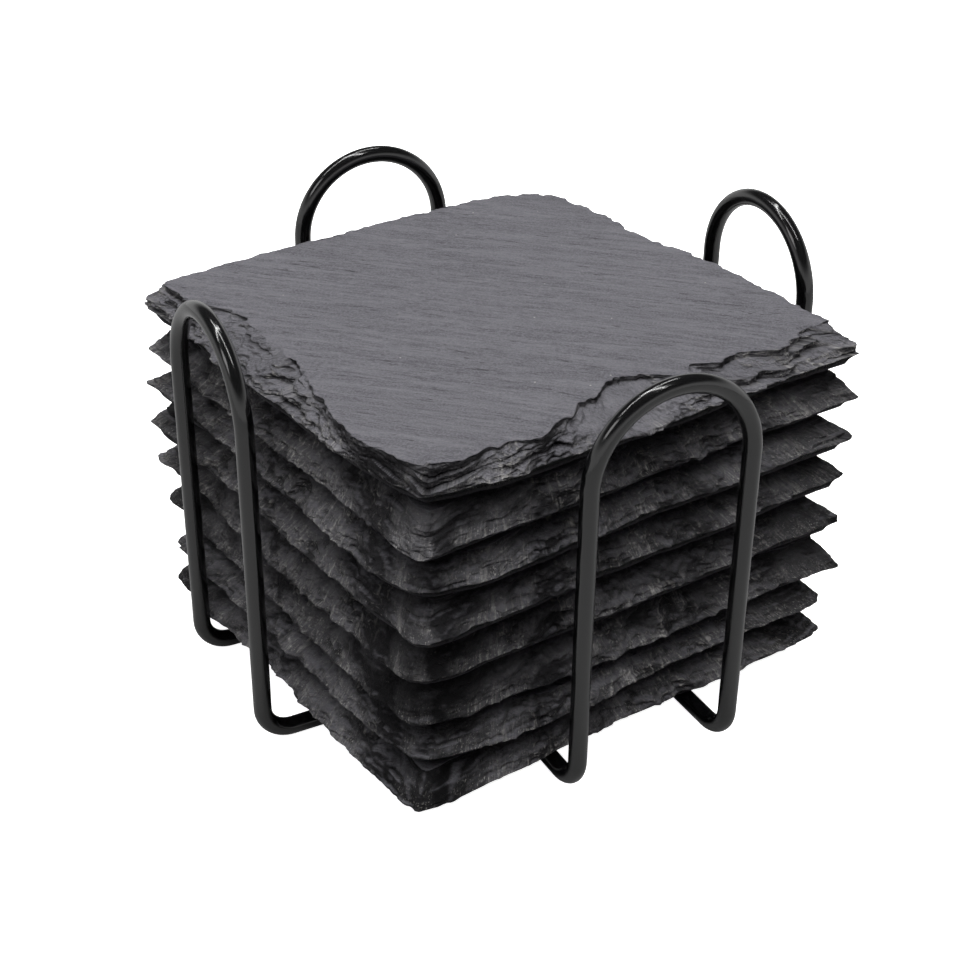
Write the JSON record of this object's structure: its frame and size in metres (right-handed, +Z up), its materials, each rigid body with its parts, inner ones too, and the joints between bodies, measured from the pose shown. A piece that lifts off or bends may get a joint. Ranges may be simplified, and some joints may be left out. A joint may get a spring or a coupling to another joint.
{
  "type": "drink coaster set",
  "caption": "Square split-slate drink coasters with foam pads, stacked in a rack of two crossed and welded wire loops with arched ends.",
  "frame": {"origin": "on the table, under the centre of the wire rack", "axes": "+Z up, the way the coasters lift out; front and back arches face -Y and +Y, side arches face -X and +X"},
  "size_m": [0.1244, 0.1244, 0.0855],
  "materials": {
    "slate": "matt split slate with dressed edges",
    "foam": "matt closed-cell foam",
    "wire": "gloss black powder coat on steel wire"
  },
  "bodies": {
    "rack": {"lower_wire_loop": "wire", "upper_wire_loop": "wire"},
    "coaster_1": {"slate_tile_1": "slate", "foam_pad_1_front_left": "foam", "foam_pad_1_front_right": "foam", "foam_pad_1_back_right": "foam", "foam_pad_1_back_left": "foam"},
    "coaster_2": {"slate_tile_2": "slate", "foam_pad_2_front_left": "foam", "foam_pad_2_front_right": "foam", "foam_pad_2_back_right": "foam", "foam_pad_2_back_left": "foam"},
    "coaster_3": {"slate_tile_3": "slate", "foam_pad_3_front_left": "foam", "foam_pad_3_front_right": "foam", "foam_pad_3_back_right": "foam", "foam_pad_3_back_left": "foam"},
    "coaster_4": {"slate_tile_4": "slate", "foam_pad_4_front_left": "foam", "foam_pad_4_front_right": "foam", "foam_pad_4_back_right": "foam", "foam_pad_4_back_left": "foam"},
    "coaster_5": {"slate_tile_5": "slate", "foam_pad_5_front_left": "foam", "foam_pad_5_front_right": "foam", "foam_pad_5_back_right": "foam", "foam_pad_5_back_left": "foam"},
    "coaster_6": {"slate_tile_6": "slate", "foam_pad_6_front_left": "foam", "foam_pad_6_front_right": "foam", "foam_pad_6_back_right": "foam", "foam_pad_6_back_left": "foam"},
    "coaster_7": {"slate_tile_7": "slate", "foam_pad_7_front_left": "foam", "foam_pad_7_front_right": "foam", "foam_pad_7_back_right": "foam", "foam_pad_7_back_left": "foam"},
    "coaster_8": {"slate_tile_8": "slate", "foam_pad_8_front_left": "foam", "foam_pad_8_front_right": "foam", "foam_pad_8_back_right": "foam", "foam_pad_8_back_left": "foam"}
  },
  "joints": [
    {"name": "lift_coaster_8", "type": "slide", "parent": "rack", "child": "coaster_8", "axis": [0, 0, 1], "range_m": [0, 0.085]},
    {"name": "lift_coaster_7", "type": "slide", "parent": "coaster_8", "child": "coaster_7", "axis": [0, 0, 1], "range_m": [0, 0.077]},
    {"name": "lift_coaster_6", "type": "slide", "parent": "coaster_7", "child": "coaster_6", "axis": [0, 0, 1], "range_m": [0, 0.07]},
    {"name": "lift_coaster_5", "type": "slide", "parent": "coaster_6", "child": "coaster_5", "axis": [0, 0, 1], "range_m": [0, 0.06]},
    {"name": "lift_coaster_4", "type": "slide", "parent": "coaster_5", "child": "coaster_4", "axis": [0, 0, 1], "range_m": [0, 0.05]},
    {"name": "lift_coaster_3", "type": "slide", "parent": "coaster_4", "child": "coaster_3", "axis": [0, 0, 1], "range_m": [0, 0.042]},
    {"name": "lift_coaster_2", "type": "slide", "parent": "coaster_3", "child": "coaster_2", "axis": [0, 0, 1], "range_m": [0, 0.033]},
    {"name": "lift_coaster_1", "type": "slide", "parent": "coaster_2", "child": "coaster_1", "axis": [0, 0, 1], "range_m": [0, 0.025]}
  ]
}
